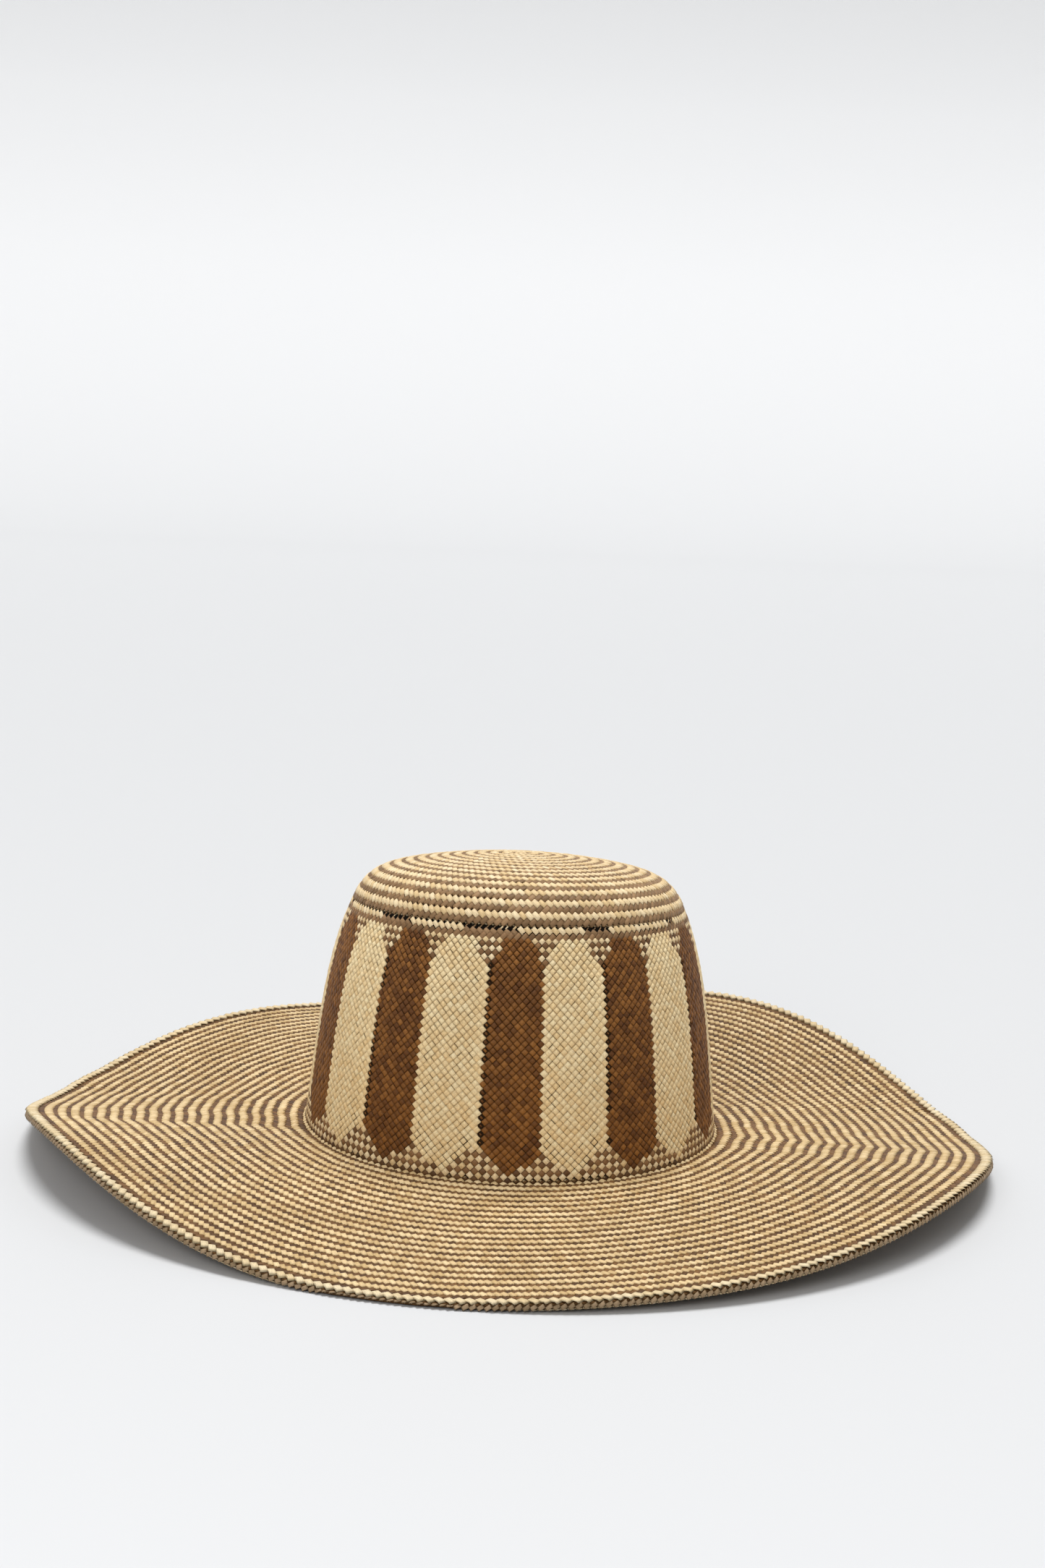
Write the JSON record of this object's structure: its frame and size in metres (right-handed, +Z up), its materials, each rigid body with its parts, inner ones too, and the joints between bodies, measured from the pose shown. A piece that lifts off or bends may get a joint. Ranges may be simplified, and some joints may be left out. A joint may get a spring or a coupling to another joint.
{
  "type": "wide-brimmed straw sun hat",
  "caption": "Wide-brimmed sun hat plaited from palm strips: tall striped crown, domed tip, waved brim with a turned-under edge and a ribbon sweatband.",
  "frame": {"origin": "middle of the brim's box, on the surface that the hat stands on", "axes": "+Z up along the crown's axis, -Y to the front, where a brown panel faces forward, +X to the wearer's left"},
  "size_m": [0.4446, 0.4445, 0.1415],
  "materials": {
    "crown_palm": "plaited palm strips in two colours, dry satin",
    "brown_palm": "dark brown palm strips, satin",
    "beige_palm": "pale natural palm strips, dry satin",
    "brim_palm": "rounds of pale and brown palm strips, dry satin",
    "edge_palm": "pale palm strips turned under as a hem",
    "grosgrain": "ribbed cotton ribbon, matt",
    "thread": "sewing thread, matt"
  },
  "bodies": {
    "root": {"crown_tip": "crown_palm", "crown_shoulder": "crown_palm", "upper_check_band": "crown_palm", "brown_panel_01": "brown_palm", "beige_panel_01": "beige_palm", "brown_panel_02": "brown_palm", "beige_panel_02": "beige_palm", "brown_panel_03": "brown_palm", "beige_panel_03": "beige_palm", "brown_panel_04": "brown_palm", "beige_panel_04": "beige_palm", "brown_panel_05": "brown_palm", "beige_panel_05": "beige_palm", "brown_panel_06": "brown_palm", "beige_panel_06": "beige_palm", "brown_panel_07": "brown_palm", "beige_panel_07": "beige_palm", "brown_panel_08": "brown_palm", "beige_panel_08": "beige_palm", "brown_panel_09": "brown_palm", "beige_panel_09": "beige_palm", "brown_panel_10": "brown_palm", "beige_panel_10": "beige_palm", "lower_check_band": "crown_palm", "brim_inner": "brim_palm", "brim_middle": "brim_palm", "brim_outer": "brim_palm", "brim_edge": "edge_palm", "sweatband": "grosgrain", "sweatband_thread": "thread"}
  },
  "joints": []
}
